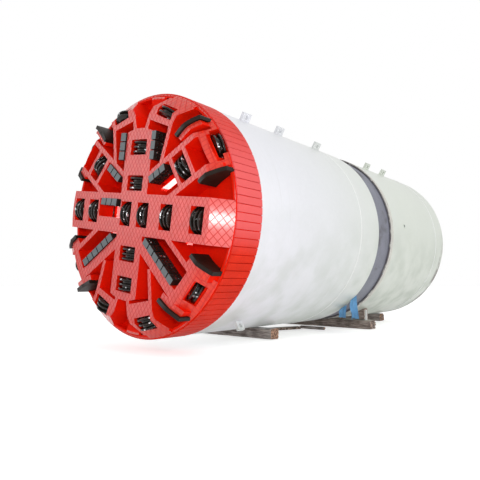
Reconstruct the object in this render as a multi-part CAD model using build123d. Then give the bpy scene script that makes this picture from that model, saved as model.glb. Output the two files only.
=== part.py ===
"""Pipe-jacking tunnel boring machine: a mixed-ground cutterhead, its front shield, the steering joint and the
tail shield, lying on timbers.

Frame: millimetres, +Z up, the machine's axis along Y with the cutterhead facing -Y, origin on the ground below
the middle of the machine. s is the distance behind the flat face of the cutterhead. The cutterhead is drawn
in its own frame, X right and Y up as seen from the front, Z out of the face, and then set on the axis.
"""

import os
from math import atan2, cos, degrees, hypot, radians, sin

from build123d import *

# ---- overall ----
SHIELD_R = 1440.0  # outside of both shields
SHIELD_WALL = 40.0
CUT_R = 1450.0  # over the wear bars of the cutterhead
TIMBER_H = 160.0
AXIS_Z = TIMBER_H + SHIELD_R
TURN = -8.4  # the cutterhead as it came to rest, degrees counter-clockwise seen from the front
DISC_PROUD = 32.0  # rings stand this far ahead of the face

# ---- stations behind the face ----
S_HEAD_END = 601.0
HEAD_GAP = 9.0
S_FRONT = S_HEAD_END + HEAD_GAP
S_WELD = 2944.0
S_FRONT_END = 3527.0
S_COLLAR = 3990.0
S_TAIL = 4093.0
S_TAIL_WELD = 6090.0
S_TAIL_END = 6515.0
Y_FACE = -(S_TAIL_END - DISC_PROUD) / 2

# ---- cutterhead envelope ----
FLAT_R = 1250.0
RIM_R = 1435.0
RIM_WALL = 40.0
RIM_IN = RIM_R - RIM_WALL
CHAMFER_D = 185.0  # the rim's front edge lies this far behind the face
PLATE = 45.0
HEAD_DEPTH = 285.0  # face to the back plate
BACK_T = 30.0

# ---- main cross: a full arm across and a shorter one up and down ----
ARM_W = 476.0
WEB = 30.0
V_ARM = 1000.0
V_ARM_SHOULDER = 955.0
V_ARM_TIP = 190.0  # width of the arm's end between its cut corners

# ---- ribs, right half: x0, z0, x1, z1, width; the left half is their mirror image ----
RIB = 62.0
THIN_RIB = 52.0
UPPER_A = (200.0, 436.5, 1130.0, 1019.5, RIB)
UPPER_B = (600.0, 206.0, 1300.0, 648.0, RIB)
LOWER_B = (600.0, -182.0, 1300.0, -704.0, RIB)
BAND_ANGLE = -36.8
BAND_IN = -83.0  # edges of the lower plate band, across its own direction
BAND_OUT = -203.0
BAND_END = 1170.0
OUTER_D = ((420.0, 585.0), (517.0, 1022.0), (590.0, 1140.0), (740.0, 1270.0))
INNER_C = ((88.0, 940.0), (148.0, 1143.0), (202.0, 1214.0), (350.0, 1390.0))
BAR = (140.0, 1120.0, 525.0, 1007.0)
LOWER_BAR = (122.0, 1058.0, 507.0, 945.0)
PLATE_OUT = ((590.0, 1140.0), (745.0, 1275.0), (430.0, 1440.0), (350.0, 1390.0), (202.0, 1214.0))
BRANCH_PLATE = ((148.0, 1130.0), (519.0, 1010.0), *PLATE_OUT)
LOWER_BRANCH_PLATE = ((130.0, 1068.0), (501.0, 948.0), *PLATE_OUT)
SCOOP = ((-88.0, 940.0), (88.0, 940.0), (148.0, 1143.0), (202.0, 1214.0), (350.0, 1390.0), (0.0, 1480.0))
SCOOP_SIDE = ((1004.0, -285.0), (1060.0, -285.0), (1394.0, -160.0), (1394.0, -118.0), (1004.0, -264.0))
GAUGE_ARM = 37.0  # direction of the outer plates on the chamfer, where each starts and its half width
UPPER_PLATE_U = 1268.0
LOWER_PLATE_U = 1140.0
GAUGE_HALF = 300.0
CROSS_ANGLE = 36.5
CROSS_T = 58.0
CROSS_RIBS = (804.0, 1022.0, 1268.0)

# ---- bucket ribs and their wear lips, right half ----
LIP_T = 46.0
LIP_PROUD = 32.0
LIP_DEPTH = 222.0
# three points of each lip's middle, rib side, rib width, fall of its front edge from the flat face to the rim
LIPS = (
    ((648.0, 875.0), (760.0, 980.0), (945.0, 1072.0), -1, 56.0, 50.0),
    ((1073.0, 385.0), (1185.0, 474.0), (1328.0, 552.0), 1, 60.0, 125.0),
    ((1073.0, -356.0), (1207.0, -451.0), (1335.0, -514.0), 1, 100.0, 85.0),
    ((650.0, -884.0), (788.0, -958.0), (970.0, -1043.0), -1, 75.0, 50.0),
)

# ---- disc cutters ----
RING_R = 150.0
RING_PITCH = 56.0
RING_TIP = 16.0
RING_ROOT = 36.0
HUB_R = 112.0
SHAFT_R = 42.0
FIT = 0.05
RING_END = 5.0
SIDE_GAP = 6.0
SADDLE_T = 30.0

# name, direction of its arm, distance out, tilt, rings, its window along the arm and across it
CUTTERS = (
    ("h1", 180.0, 1096.0, 0.0, 3, 193.0, 286.0),
    ("h2", 180.0, 780.0, 0.0, 3, 193.0, 286.0),
    ("h3", 180.0, 113.0, 0.0, 3, 193.0, 286.0),
    ("h4", 0.0, 197.0, 0.0, 3, 193.0, 286.0),
    ("h5", 0.0, 597.0, 0.0, 3, 193.0, 286.0),
    ("h6", 0.0, 1073.0, 0.0, 3, 193.0, 286.0),
    ("v1", 90.0, 780.0, 0.0, 3, 178.0, 280.0),
    ("v2", 90.0, 362.0, 0.0, 3, 178.0, 280.0),
    ("v3", 270.0, 464.0, 0.0, 3, 178.0, 280.0),
    ("v4", 270.0, 819.0, 0.0, 3, 178.0, 280.0),
    ("d1", 36.5, 942.0, 0.0, 3, 172.0, 280.0),
    ("d2", 143.5, 942.0, 0.0, 3, 172.0, 280.0),
    ("g1", 36.8, 1400.0, 50.0, 2, 132.0, 250.0),
    ("g2", 143.2, 1400.0, 50.0, 2, 132.0, 250.0),
    ("g3", 214.6, 1330.0, 45.0, 2, 158.0, 262.0),
    ("g4", 325.4, 1330.0, 45.0, 2, 158.0, 262.0),
    ("b1", 71.0, 1240.0, 20.0, 2, 148.0, 260.0),
    ("b2", 109.0, 1240.0, 20.0, 2, 148.0, 260.0),
    ("b3", 251.0, 1192.0, 4.0, 3, 172.0, 276.0),
    ("b4", 289.0, 1272.0, 20.0, 3, 172.0, 276.0),
)

# ---- scrapers: each row stands against an edge: direction, start out, that edge across, side, teeth, pitch ----
TOOTH_W = 82.0
TOOTH_H = 130.0
TOOTH_PROUD = 30.0
TOOTH_GAP = 14.0
TOOTH_RAKE = 9.0  # the cutting edge is the outer one; towards the arm the front face falls back by this much
SLOT_TOP = 167.0
A_ANGLE = degrees(atan2(UPPER_A[3] - UPPER_A[1], UPPER_A[2] - UPPER_A[0]))
A_EDGE = UPPER_A[1] * cos(radians(A_ANGLE)) - UPPER_A[0] * sin(radians(A_ANGLE)) - RIB / 2
UPPER_B_V = UPPER_B[1] * cos(radians(A_ANGLE)) - UPPER_B[0] * sin(radians(A_ANGLE))
SLOT_SIDE = LOWER_B[1] * cos(radians(BAND_ANGLE)) - LOWER_B[0] * sin(radians(BAND_ANGLE))
SCRAPERS = (
    (180.0, 273.0, -SLOT_TOP, 1, 3, 109.0),
    (90.0, 625.0, ARM_W / 2, 1, 3, 111.0),
    (90.0, 625.0, -ARM_W / 2, -1, 3, 111.0),
    (A_ANGLE, 440.0, A_EDGE, -1, 3, 98.0),
    (180.0 - A_ANGLE, 440.0, -A_EDGE, 1, 3, 98.0),
    (BAND_ANGLE, 407.0, BAND_IN, 1, 6, 112.0),
    (180.0 - BAND_ANGLE, 407.0, -BAND_IN, -1, 6, 112.0),
)

# ---- muck openings in the back plate and the lower edges of the webs: x0, x1, z0, z1, turn ----
MUCK_TOP = 205.0  # they start this far behind the face
MUCK = (
    (-725.0, -240.0, -58.0, 160.0, 0.0),
    (290.0, 580.0, 135.0, 232.0, A_ANGLE),
    (-580.0, -290.0, 135.0, 232.0, -A_ANGLE),
    (440.0, 770.0, -300.0, -240.0, 0.0),
    (-770.0, -440.0, -300.0, -240.0, 0.0),
)
H_SLOT = (-655.0, -225.0, -58.0, SLOT_TOP)

# ---- wear bars ----
BARS = 104
BAR_W = 78.0
BAR_T = CUT_R - RIM_R
S_BAR = 200.0

# ---- steering ----
PIVOT_IN = 75.0  # the two steering axes lie this far inside the shields' edges
LAP = 115.0  # the ring's ends lie this far inside both shields
RING_OUT = 1410.0
RING_WALL = 40.0
SOCKET_R = 1420.0
SOCKET_L = 200.0
SEAL_W = 24.0
SEAL_GAP = 0.3

# ---- drive ----
HUB_OUT = 360.0
HUB_L = 405.0
DRIVE_SHAFT_R = 250.0
S_BULKHEAD = 1150.0
BULKHEAD_T = 60.0
DRIVE_R = 560.0
DRIVE_L = 1700.0


def on_axis(shape):
    """Cutterhead frame to machine frame."""
    return Pos(0, Y_FACE, AXIS_Z) * Rot(90, 0, 0) * Rot(0, 0, TURN) * shape


def along(shape):
    """A shape drawn about Z, with Z as s, laid on the machine's axis."""
    return Pos(0, Y_FACE, AXIS_Z) * Rot(-90, 0, 0) * shape


def disc(r, s0, s1):
    return Pos(0, 0, (s0 + s1) / 2) * Cylinder(r, s1 - s0)


def tube(r_out, r_in, s0, s1):
    return disc(r_out, s0, s1) - disc(r_in, s0 - 1, s1 + 1)


def revolved(points):
    return revolve(Plane.XZ * make_face(Polyline(*points, close=True)), Axis.Z)


def joined(shapes):
    """One shape of many, fused."""
    first, *rest = shapes
    return first.fuse(*rest) if rest else first


def surface_z(r, lift=0.0):
    """Height of the chamfered front at a radius."""
    return lift - max(0.0, r - FLAT_R) * CHAMFER_D / (RIM_R - FLAT_R)


def whole(shape):
    """A weldment without the crumbs that crossing cuts leave."""
    return Compound(children=[s for s in shape.solids() if s.volume > LEAST])


def envelope(lift, floor=-HEAD_DEPTH, out=RIM_IN):
    """Everything under the chamfered front, moved forward by lift, down to a floor and out to a radius."""
    return revolved([(0, lift), (FLAT_R, lift), (out, surface_z(out, lift)), (out, floor), (0, floor)])


def straight_front(lift, floor, out, rim_fall):
    """Room for the bucket lips and ribs, whose front edges fall less than the chamfer towards the rim."""
    fall = rim_fall * (out - FLAT_R) / (RIM_R - FLAT_R)
    return revolved([(0, lift), (FLAT_R, lift), (out, lift - fall), (out, floor), (0, floor)])


def slab(u0, u1, v0, v1, angle, z0, z1):
    """A straight-sided block: u out along a direction, v across it."""
    block = Pos((u0 + u1) / 2, (v0 + v1) / 2, (z0 + z1) / 2) * Box(u1 - u0, v1 - v0, z1 - z0)
    return Rot(0, 0, angle) * block


TOP = 60.0
LEAST = 500000.0  # mm3


def wall(x0, z0, x1, z1, width):
    """A rib of full depth between two points."""
    mid = Pos((x0 + x1) / 2, (z0 + z1) / 2, (TOP - HEAD_DEPTH) / 2)
    turn = Rot(0, 0, degrees(atan2(z1 - z0, x1 - x0)))
    return mid * turn * Box(hypot(x1 - x0, z1 - z0), width, TOP + HEAD_DEPTH)


def chain(points, width):
    """Ribs from point to point with round knees."""
    parts = [wall(*a, *b, width) for a, b in zip(points, points[1:])]
    for x, z in points[1:-1]:
        parts.append(Pos(x, z, (TOP - HEAD_DEPTH) / 2) * Cylinder(width / 2, TOP + HEAD_DEPTH))
    return joined(parts)


def plate(points):
    """A block of full depth on an outline."""
    return extrude(Pos(0, 0, -HEAD_DEPTH) * make_face(Polyline(*points, close=True)), TOP + HEAD_DEPTH)


def both(shape):
    """A shape and its mirror image across the upright plane."""
    return [shape, mirror(shape, Plane.YZ)]


def four(shape):
    """A shape and its mirror images across both planes."""
    return [s for half in both(shape) for s in (half, mirror(half, Plane.XZ))]


def arc_wall(p0, p1, p2, half, shift, z0, z1):
    """A wall along the arc through three points, moved by shift away from the arc's centre."""
    (ax, ay), (bx, by), (cx, cy) = p0, p1, p2
    d = 2 * (ax * (by - cy) + bx * (cy - ay) + cx * (ay - by))
    a2, b2, c2 = ax * ax + ay * ay, bx * bx + by * by, cx * cx + cy * cy
    ox = (a2 * (by - cy) + b2 * (cy - ay) + c2 * (ay - by)) / d
    oy = (a2 * (cx - bx) + b2 * (ax - cx) + c2 * (bx - ax)) / d
    r = hypot(ax - ox, ay - oy)

    def at(p, radius):
        t = atan2(p[1] - oy, p[0] - ox)
        return (ox + radius * cos(t), oy + radius * sin(t))

    near, far = r + shift - half, r + shift + half
    edges = [
        ThreePointArc(at(p0, far), at(p1, far), at(p2, far)),
        Line(at(p2, far), at(p2, near)),
        ThreePointArc(at(p2, near), at(p1, near), at(p0, near)),
        Line(at(p0, near), at(p0, far)),
    ]
    return extrude(Pos(0, 0, z0) * make_face(edges), z1 - z0)


def cutter_place(angle, out, tilt):
    """Centre of a cutter on its arm, its axle along the arm, tipped outwards by tilt."""
    depth = RING_R - DISC_PROUD
    t = radians(tilt)
    u = out - depth * sin(t)
    z = surface_z(out) - depth * cos(t)
    return Rot(0, 0, angle) * Pos(u, 0, z) * Rot(0, tilt, 0) * Rot(0, 90, 0)


ROOM = RING_R + SIDE_GAP


def half_cutter(rings):
    return (rings - 1) / 2 * RING_PITCH + RING_ROOT / 2 + RING_END


def saddle_in(rings):
    return half_cutter(rings) + SIDE_GAP


def saddle_out(rings):
    return saddle_in(rings) + SADDLE_T


def disc_cutter(rings):
    """One cutter: rings on a hub, bored for its shaft, about Z."""
    half = (rings - 1) / 2 * RING_PITCH
    end = half_cutter(rings)
    pts = [(SHAFT_R + FIT, -end), (HUB_R - 8, -end), (HUB_R, -half - RING_ROOT / 2)]
    for i in range(rings):
        z = -half + i * RING_PITCH
        if i:
            pts.append((HUB_R, z - RING_ROOT / 2))
        pts += [(RING_R, z - RING_TIP / 2), (RING_R, z + RING_TIP / 2), (HUB_R, z + RING_ROOT / 2)]
    pts += [(HUB_R - 8, end), (SHAFT_R + FIT, end)]
    return revolved(pts)


def block(depth_in, up, width, length):
    """A block about a cutter's axle Z: X points into the head."""
    return Pos((depth_in - up) / 2, 0, 0) * Box(depth_in + up, width, length)


def saddles(rings, width, up, down):
    """Two plates either side of a cutter."""
    return block(down, up, width, 2 * saddle_out(rings)) - block(down + 1, up + 1, width + 2, 2 * saddle_in(rings))


os.makedirs("parts", exist_ok=True)

places = {}
rings_of = {}
window_list = []
room_list = []
wheel_list = []
bore_list = []
for name, angle, out, tilt, rings, length, height in CUTTERS:
    place = cutter_place(angle, out, tilt)
    places[name] = place
    rings_of[name] = rings
    window_list.append(place * block(ROOM, RING_R + 80, height, length))
    room_list.append(place * block(ROOM, RING_R + 80, 2 * ROOM, 2 * saddle_in(rings)))
    wheel_list.append(place * Cylinder(ROOM, 2 * saddle_in(rings)))
    bore_list.append(place * Cylinder(SHAFT_R + FIT, 2 * saddle_out(rings) + 1))
windows = joined(window_list)
rooms = joined(room_list)
wheels = joined(wheel_list)
bores = joined(bore_list)
full = envelope(0)
inner = envelope(-PLATE)
skin = full - inner

# ---- the cross of the two main arms ----
w = ARM_W / 2
across = slab(-CUT_R, CUT_R, -w, w, 0, -HEAD_DEPTH, TOP)
upright = plate(
    [
        (-w, -V_ARM_SHOULDER),
        (-V_ARM_TIP / 2, -V_ARM),
        (V_ARM_TIP / 2, -V_ARM),
        (w, -V_ARM_SHOULDER),
        (w, V_ARM_SHOULDER),
        (V_ARM_TIP / 2, V_ARM),
        (-V_ARM_TIP / 2, V_ARM),
        (-w, V_ARM_SHOULDER),
    ]
)
cross = across + upright
n = w - WEB
core = slab(-CUT_R, CUT_R, -n, n, 0, -HEAD_DEPTH - 1, TOP + 1)
core += slab(-V_ARM + WEB, V_ARM - WEB, -n, n, 90, -HEAD_DEPTH - 1, TOP + 1)
ends = slab(-n, n, V_ARM_SHOULDER - WEB, V_ARM, 0, -HEAD_DEPTH - 1, TOP + 1)
core -= joined([ends, mirror(ends, Plane.XZ)])

hs = slab(*H_SLOT, 0, -HEAD_DEPTH - 1, TOP)
slot_box = slab(H_SLOT[0] - WEB, H_SLOT[1] + WEB, H_SLOT[2] - WEB, H_SLOT[3] + WEB, 0, -HEAD_DEPTH, TOP) - hs
muck = joined([slab(x0, x1, z0, z1, a, -HEAD_DEPTH - BACK_T - 1, -MUCK_TOP) for x0, x1, z0, z1, a in MUCK])
up = RING_R - DISC_PROUD - PLATE
main_saddles = [places[k] * saddles(rings_of[k], 2 * n + 2, up, ROOM + 10) for k in places if k[0] in "hv"]
arm_frame = ((cross - core) + joined(main_saddles) + slot_box) & inner
arm_frame = arm_frame - bores - muck - hs - rooms

# ---- teeth ----
tooth_face = [(0, TOOTH_PROUD - TOOTH_RAKE), (TOOTH_W, TOOTH_PROUD), (TOOTH_W, -TOOTH_H), (0, -TOOTH_H)]
teeth = []
for angle, start, edge, side, count, pitch in SCRAPERS:
    for i in range(count):
        outline = [(0, edge + side * v, z) for v, z in tooth_face]
        tooth = extrude(make_face(Polyline(*outline, close=True)), pitch - TOOTH_GAP, dir=(1, 0, 0))
        teeth.append(Rot(0, 0, angle) * Pos(start + i * pitch + TOOTH_GAP / 2, 0, 0) * tooth)

# ---- bucket lips and their ribs ----
lip_list = []
rib_list = []
for p0, p1, p2, side, rib_w, fall in LIPS:
    lip = arc_wall(p0, p1, p2, LIP_T / 2, 0, -HEAD_DEPTH, TOP)
    lip_list += both(lip & straight_front(LIP_PROUD, -LIP_DEPTH, RIM_R, fall))
    rib = arc_wall(p0, p1, p2, rib_w / 2, side * (LIP_T + rib_w) / 2, -HEAD_DEPTH, TOP)
    rib_list += both(rib & straight_front(0, -HEAD_DEPTH, RIM_IN, fall))
lips = joined(lip_list)
bucket_ribs = joined(rib_list) - lips - cross - rooms

# ---- plates on the face and the chamfer ----
band = slab(250, BAND_END, BAND_OUT, BAND_IN, BAND_ANGLE, -HEAD_DEPTH, TOP)
band_core = slab(240, BAND_END - WEB, BAND_OUT + WEB, BAND_IN - WEB, BAND_ANGLE, -HEAD_DEPTH - 1, TOP)
upper_plate = slab(UPPER_PLATE_U, CUT_R + 50, -GAUGE_HALF, GAUGE_HALF, GAUGE_ARM, -HEAD_DEPTH, TOP)
lower_plate = mirror(slab(LOWER_PLATE_U, CUT_R + 50, -GAUGE_HALF, GAUGE_HALF, GAUGE_ARM, -HEAD_DEPTH, TOP), Plane.XZ)
branch_plates = both(plate(BRANCH_PLATE)) + both(mirror(plate(LOWER_BRANCH_PLATE), Plane.XZ))
plates = joined([cross, *both(band), *both(upper_plate), *both(lower_plate), *branch_plates])

# ---- ribs of the diagonal arms ----
open_grid = slab(0, CUT_R + 50, UPPER_B_V, A_EDGE + RIB / 2, A_ANGLE, -HEAD_DEPTH, TOP)
cross_ribs = joined([slab(u, u + CROSS_T, -300, 300, CROSS_ANGLE, -HEAD_DEPTH, TOP) for u in CROSS_RIBS])
upper_ribs = joined([wall(*UPPER_A), wall(*UPPER_B), cross_ribs & open_grid])
end_wall = slab(LOWER_PLATE_U, LOWER_PLATE_U + CROSS_T, BAND_IN - 10, SLOT_SIDE, BAND_ANGLE, -HEAD_DEPTH, TOP)
lower_ribs = joined([wall(*LOWER_B), band - band_core, end_wall])
gauge_saddles = [places[k] * saddles(rings_of[k], 2 * ROOM + 40, 200, ROOM + 60) for k in places if k[0] == "g"]
diagonals = joined([*both(upper_ribs), *both(lower_ribs)])
diagonal_ribs = (diagonals & full) + (joined(gauge_saddles) & inner)
diagonal_ribs = diagonal_ribs - cross - lips - bucket_ribs - rooms - bores - muck

# ---- ribs and scoops of the branches ----
branch = joined([*four(chain(OUTER_D, THIN_RIB)), *four(chain(INNER_C, THIN_RIB))])
branch += joined(both(wall(*BAR, THIN_RIB)) + both(mirror(wall(*LOWER_BAR, THIN_RIB), Plane.XZ)))
branch_saddles = [places[k] * saddles(rings_of[k], 2 * ROOM + 60, 200, ROOM + 60) for k in places if k[0] == "b"]
branch_ribs = (branch & full) + (joined(branch_saddles) & joined(branch_plates) & inner)
branch_ribs = branch_ribs - cross - lips - joined(both(band)) - joined(both(lower_plate)) - rooms - bores
arm_ribs = diagonal_ribs + branch_ribs + bucket_ribs

scoop = extrude(make_face(Polyline(*[(0, v, z) for v, z in SCOOP_SIDE], close=True)), 400, dir=(1, 0, 0))
scoop = (Pos(-200, 0, 0) * scoop) & plate(SCOOP) & full
scoops = [scoop - arm_ribs - cross, mirror(scoop, Plane.XZ) - arm_ribs - cross]

face_plate = whole((skin & plates) - windows - wheels - bores - hs - lips - arm_ribs)

# ---- rim, back plate, wear bars and hub ----
rim_front = revolved([(RIM_IN, surface_z(RIM_IN)), (RIM_R, -CHAMFER_D), (RIM_R, -CHAMFER_D - 1), (RIM_IN, -CHAMFER_D - 1)])
rim = tube(RIM_R, RIM_IN, -S_HEAD_END, -CHAMFER_D) + (rim_front & plates)
rim = rim - windows - rooms - lips - bores
back_plate = disc(RIM_IN, -HEAD_DEPTH - BACK_T, -HEAD_DEPTH) - muck - rooms - bores
bar = Pos(RIM_R + BAR_T / 2 - 2, 0, -(S_BAR + S_HEAD_END) / 2) * Box(BAR_T + 4, BAR_W, S_HEAD_END - S_BAR)
bar = (bar - disc(RIM_R, -S_HEAD_END - 9, 0)) & disc(CUT_R, -S_HEAD_END - 9, 0)
bars = [Rot(0, 0, i * 360 / BARS) * bar for i in range(BARS)]
hub_end = HEAD_DEPTH + BACK_T + HUB_L
shaft_end = S_BULKHEAD + BULKHEAD_T + 120
hub = disc(HUB_OUT, -hub_end, -HEAD_DEPTH - BACK_T) + disc(DRIVE_SHAFT_R, -shaft_end, -hub_end)

shafts = []
for name in places:
    export_step(on_axis(places[name] * disc_cutter(rings_of[name])), f"parts/disc_cutter_{name}.step")
    shafts.append(places[name] * Cylinder(SHAFT_R, 2 * saddle_out(rings_of[name])))

for node, shape in (
    ("face_plate", face_plate),
    ("arm_frame", arm_frame),
    ("arm_ribs", whole(arm_ribs)),
    ("bucket_lips", lips),
    ("scoop_plates", Compound(children=scoops)),
    ("head_rim", rim),
    ("back_plate", back_plate),
    ("head_hub", hub),
    ("wear_bars", Compound(children=bars)),
    ("scraper_teeth", Compound(children=teeth)),
    ("cutter_shafts", Compound(children=shafts)),
):
    export_step(on_axis(shape), f"parts/{node}.step")

# ---- front shield and drive ----
SKIN_IN = SHIELD_R - SHIELD_WALL
WELD_R = SHIELD_R + 3
front_shield = tube(SHIELD_R, SKIN_IN, S_FRONT, S_FRONT_END)
front_shield += tube(WELD_R, SHIELD_R - 5, S_WELD - 7, S_WELD + 7)
front_shield -= disc(SOCKET_R, S_FRONT_END - SOCKET_L, S_FRONT_END + 1)

cone = [(SKIN_IN, 660), (SKIN_IN, 745), (990, S_BULKHEAD), (900, S_BULKHEAD), (SKIN_IN - 20, 660)]
crusher_cone = revolve(Plane.XZ * make_face(Polyline(*cone, close=True)), Axis.Z)
bulkhead = disc(SKIN_IN, S_BULKHEAD, S_BULKHEAD + BULKHEAD_T) - disc(DRIVE_SHAFT_R + FIT, 0, 9000)
main_drive = disc(DRIVE_R, S_BULKHEAD + BULKHEAD_T, S_BULKHEAD + BULKHEAD_T + DRIVE_L)
main_drive -= disc(DRIVE_SHAFT_R + FIT, 0, S_BULKHEAD + BULKHEAD_T + 125)

# ---- steering ring and tail ----
steering_ring = tube(RING_OUT, RING_OUT - RING_WALL, S_FRONT_END - LAP, S_COLLAR + LAP)
seals = []
for s in (S_FRONT_END - PIVOT_IN, S_COLLAR + PIVOT_IN):
    band = tube(SOCKET_R, RING_OUT, s - SEAL_W / 2, s + SEAL_W / 2)
    seals.append(band & (Pos(0, 0, s) * Sphere(SOCKET_R - SEAL_GAP)))
tail_collar = tube(SHIELD_R, SOCKET_R, S_COLLAR, S_TAIL)
for s in (S_COLLAR + 42, S_COLLAR + 72):
    tail_collar -= tube(SHIELD_R + 1, SHIELD_R - 4, s - 5, s + 5)
tail_shield = tube(SHIELD_R, SKIN_IN, S_TAIL, S_TAIL_END) - disc(SOCKET_R, S_TAIL - 1, S_COLLAR + SOCKET_L)
tail_shield += tube(WELD_R, SHIELD_R - 5, S_TAIL_WELD - 7, S_TAIL_WELD + 7)

S_REAR = 5850.0
REAR_T = 30.0
PIPE_R = 84.0
PIPE_IN = 76.0
FLANGE_R = 142.0
FLANGE_T = 24.0
FLANGE_BOLT_R = 11.0
FLANGE_PCD = 240.0
FLANGE_BOLTS = 8
PIPE_X = 420.0
PIPE_Z = -560.0
PIPE_END = 6380.0

rear_wall = disc(SKIN_IN, S_REAR, S_REAR + REAR_T) - disc(520, S_REAR - 1, S_REAR + REAR_T + 1)
thrust_ring = tube(SKIN_IN, 1240, 6180, 6260)
pipe = tube(PIPE_R, PIPE_IN, S_REAR + REAR_T, PIPE_END)
pipe += tube(FLANGE_R, PIPE_IN, PIPE_END - FLANGE_T, PIPE_END)
pipe += tube(FLANGE_R, PIPE_IN, S_REAR + REAR_T, S_REAR + REAR_T + FLANGE_T)
for i in range(FLANGE_BOLTS):
    bolt = Rot(0, 0, (i + 0.5) * 360 / FLANGE_BOLTS) * Pos(FLANGE_PCD / 2, 0, 0)
    pipe -= bolt * disc(FLANGE_BOLT_R, S_REAR, PIPE_END + 1)
pipes = []
for x in (-PIPE_X, PIPE_X):
    rear_wall -= Pos(x, -PIPE_Z, 0) * disc(PIPE_IN, S_REAR - 1, S_REAR + REAR_T + 1)
    pipes.append(Pos(x, -PIPE_Z, 0) * pipe)

# ---- power unit on the floor of the tail ----
UNIT_HALF = 500.0
UNIT_TOP = -480.0
S_UNIT = (4450.0, 5550.0)
unit = Pos(0, -(UNIT_TOP - SKIN_IN) / 2, sum(S_UNIT) / 2)
unit *= Box(2 * UNIT_HALF, SKIN_IN + UNIT_TOP, S_UNIT[1] - S_UNIT[0])
power_unit = unit & disc(SKIN_IN, *S_UNIT)

# ---- lifting lugs: station, degrees from the top, length ----
LUG_T = 40.0
LUG_H = 110.0
LUG_HOLE_R = 25.0
FRONT_LUGS = ((1150.0, 31.0, 150.0), (1880.0, 31.0, 150.0), (2850.0, 31.0, 150.0), (1110.0, 152.0, 110.0))
TAIL_LUGS = ((4580.0, 31.0, 150.0), (5250.0, 31.0, 150.0))


def lugs(table):
    out = []
    for s, angle, length in table:
        for side in (-1, 1):
            plate = Box(LUG_T, length, LUG_H) - Rot(0, 90, 0) * Cylinder(LUG_HOLE_R, LUG_T + 2)
            plate = Pos(0, 0, SHIELD_R - 2 + LUG_H / 2) * plate
            plate -= Rot(90, 0, 0) * Cylinder(SHIELD_R, length + 2)
            out.append(Pos(0, Y_FACE + s, AXIS_Z) * Rot(0, side * angle, 0) * plate)
    return Compound(children=out)


# ---- timbers: station of the middle, from, to across the machine, width along it ----
FRONT_TIMBER = ((2204.0, -1000.0, 440.0, 200.0),)
TAIL_TIMBERS = ((4480.0, -900.0, 880.0, 240.0), (6260.0, -900.0, 250.0, 220.0))


def timbers(table):
    beams = []
    for s, x0, x1, width in table:
        beam = Pos((x0 + x1) / 2, Y_FACE + s, TIMBER_H / 2) * Box(x1 - x0, width, TIMBER_H)
        beams.append(beam - Pos(0, Y_FACE + s, AXIS_Z) * Rot(90, 0, 0) * Cylinder(SHIELD_R, width + 2))
    return Compound(children=beams)


CHOCK_W = 150.0
CHOCK_IN = 560.0
CHOCK_OUT = 740.0
chock = Pos((CHOCK_IN + CHOCK_OUT) / 2, 0, TIMBER_H + 100) * Box(CHOCK_OUT - CHOCK_IN, CHOCK_W, 200)
chock -= Pos(0, 0, AXIS_Z) * Rot(90, 0, 0) * Cylinder(SHIELD_R, 400)
chock = Pos(0, Y_FACE + TAIL_TIMBERS[0][0], 0) * chock

for node, shape in (
    ("front_shield", along(front_shield)),
    ("crusher_cone", along(crusher_cone)),
    ("bulkhead", along(bulkhead)),
    ("main_drive", along(main_drive)),
    ("front_lugs", lugs(FRONT_LUGS)),
    ("timber_front", timbers(FRONT_TIMBER)),
    ("steering_ring", along(steering_ring)),
    ("steering_seals", along(Compound(children=seals))),
    ("tail_collar", along(tail_collar)),
    ("tail_shield", along(tail_shield)),
    ("rear_wall", along(rear_wall)),
    ("thrust_ring", along(thrust_ring)),
    ("slurry_pipes", along(Compound(children=pipes))),
    ("power_unit", along(power_unit)),
    ("tail_lugs", lugs(TAIL_LUGS)),
    ("tail_timbers", timbers(TAIL_TIMBERS)),
    ("chocks", Compound(children=[chock, mirror(chock, Plane.YZ)])),
):
    export_step(shape, f"parts/{node}.step")
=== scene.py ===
# %% [markdown]
# # A pipe-jacking tunnel boring machine
# This lesson dresses a CAD model of a tunnel boring machine in Blender: a red cutterhead that carries twenty
# disc cutters, a pale front shield, a grey steering joint and a tail shield, all lying on old timbers.
# The CAD parts come in as a fixed frame. Their shapes are final, so the work here is light, paint, steel and
# wood, and the small parts that a CAD model leaves out. Every length is in metres.

import math

import bmesh
import bpy
from mathutils import Matrix, Vector, noise


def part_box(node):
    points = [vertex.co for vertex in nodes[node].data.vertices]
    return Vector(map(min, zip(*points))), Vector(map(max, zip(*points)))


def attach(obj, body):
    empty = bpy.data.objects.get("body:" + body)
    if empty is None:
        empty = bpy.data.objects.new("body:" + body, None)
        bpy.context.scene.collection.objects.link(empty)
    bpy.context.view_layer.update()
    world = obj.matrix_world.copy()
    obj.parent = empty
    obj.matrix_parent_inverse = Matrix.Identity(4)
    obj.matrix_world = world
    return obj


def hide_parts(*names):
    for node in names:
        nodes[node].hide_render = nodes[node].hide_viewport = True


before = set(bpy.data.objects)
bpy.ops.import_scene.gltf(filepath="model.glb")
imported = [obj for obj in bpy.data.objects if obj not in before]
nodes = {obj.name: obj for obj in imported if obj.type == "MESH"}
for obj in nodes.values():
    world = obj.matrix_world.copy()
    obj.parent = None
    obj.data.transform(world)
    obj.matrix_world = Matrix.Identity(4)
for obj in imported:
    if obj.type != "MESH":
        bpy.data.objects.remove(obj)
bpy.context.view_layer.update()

ring_low, ring_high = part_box("steering_ring")
AXIS_Z = (ring_low[2] + ring_high[2]) / 2
FACE_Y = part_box("arm_ribs")[0][1]
SHIELD_R = 1.44
HEAD_TURN = math.radians(-8.4)
print("axis height", round(AXIS_Z, 3), "face at", round(FACE_Y, 3))

# %% [markdown]
# ## Camera
# The machine is seen from its front right, from just below the axis, with a lens a little longer than the eye's
# own view. The camera is placed first, because every later choice of detail depends on what it shows. Its
# direction is given as a vector and turned into a rotation, which avoids guessing at angles.

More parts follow.
